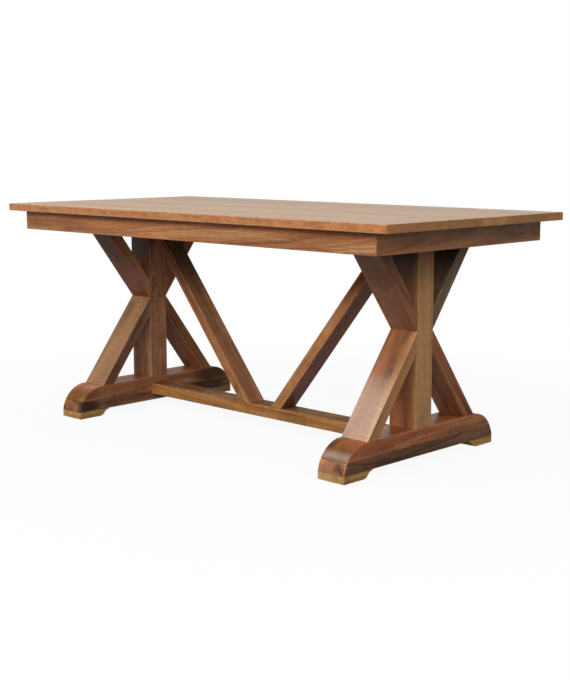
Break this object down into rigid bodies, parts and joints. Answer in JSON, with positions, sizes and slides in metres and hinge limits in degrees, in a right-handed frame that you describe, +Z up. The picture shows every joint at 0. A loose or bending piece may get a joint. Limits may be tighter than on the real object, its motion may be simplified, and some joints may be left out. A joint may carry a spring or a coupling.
{
  "type": "sawbuck table",
  "caption": "Rectangular plank-top dining table with a shallow apron, standing on X-braced trestles that a low stretcher and long slanting braces hold apart.",
  "frame": {"origin": "on the floor, under the middle of the table top", "axes": "+X along the table towards its right end, +Y across it towards the back, +Z up"},
  "size_m": [1.75, 0.87, 0.76],
  "materials": {
    "top_wood": "satin lacquer over pale tan boards",
    "apron_wood": "satin lacquer over orange brown grain",
    "brace_wood": "satin lacquer over red brown grain",
    "post_wood": "satin lacquer over olive brown grain",
    "foot_upper_wood": "satin lacquer over red brown grain",
    "foot_lower_wood": "satin lacquer over dark brown grain",
    "foot_pad_wood": "satin lacquer over pale yellow brown grain",
    "stretcher_wood": "satin lacquer over brown grain",
    "hidden_wood": "sawn and sanded, unlacquered",
    "tenon_wood": "planed, unlacquered",
    "screw_steel": "zinc plated"
  },
  "bodies": {
    "root": {"apron_back": "apron_wood", "apron_front": "apron_wood", "apron_left_end": "apron_wood", "apron_right_end": "apron_wood", "brace_left_back_lower": "brace_wood", "brace_left_back_upper": "brace_wood", "brace_left_front_lower": "brace_wood", "brace_left_front_upper": "brace_wood", "brace_right_back_lower": "brace_wood", "brace_right_back_upper": "brace_wood", "brace_right_front_lower": "brace_wood", "brace_right_front_upper": "brace_wood", "brace_tenons": "tenon_wood", "corner_block_back_left": "hidden_wood", "corner_block_back_right": "hidden_wood", "corner_block_front_left": "hidden_wood", "corner_block_front_right": "hidden_wood", "foot_lower_left": "foot_lower_wood", "foot_lower_right": "foot_lower_wood", "foot_pad_left_back": "foot_pad_wood", "foot_pad_left_front": "foot_pad_wood", "foot_pad_right_back": "foot_pad_wood", "foot_pad_right_front": "foot_pad_wood", "foot_upper_left": "foot_upper_wood", "foot_upper_right": "foot_upper_wood", "head_beam_left": "hidden_wood", "head_beam_right": "hidden_wood", "head_beam_screws": "screw_steel", "long_brace_left": "stretcher_wood", "long_brace_right": "stretcher_wood", "long_brace_tenons": "tenon_wood", "post_left": "post_wood", "post_right": "post_wood", "stretcher": "stretcher_wood", "top_board_1": "top_wood", "top_board_2": "top_wood", "top_board_3": "top_wood", "top_board_4": "top_wood", "top_board_5": "top_wood", "top_board_6": "top_wood", "top_board_7": "top_wood", "top_board_8": "top_wood"}
  },
  "joints": []
}
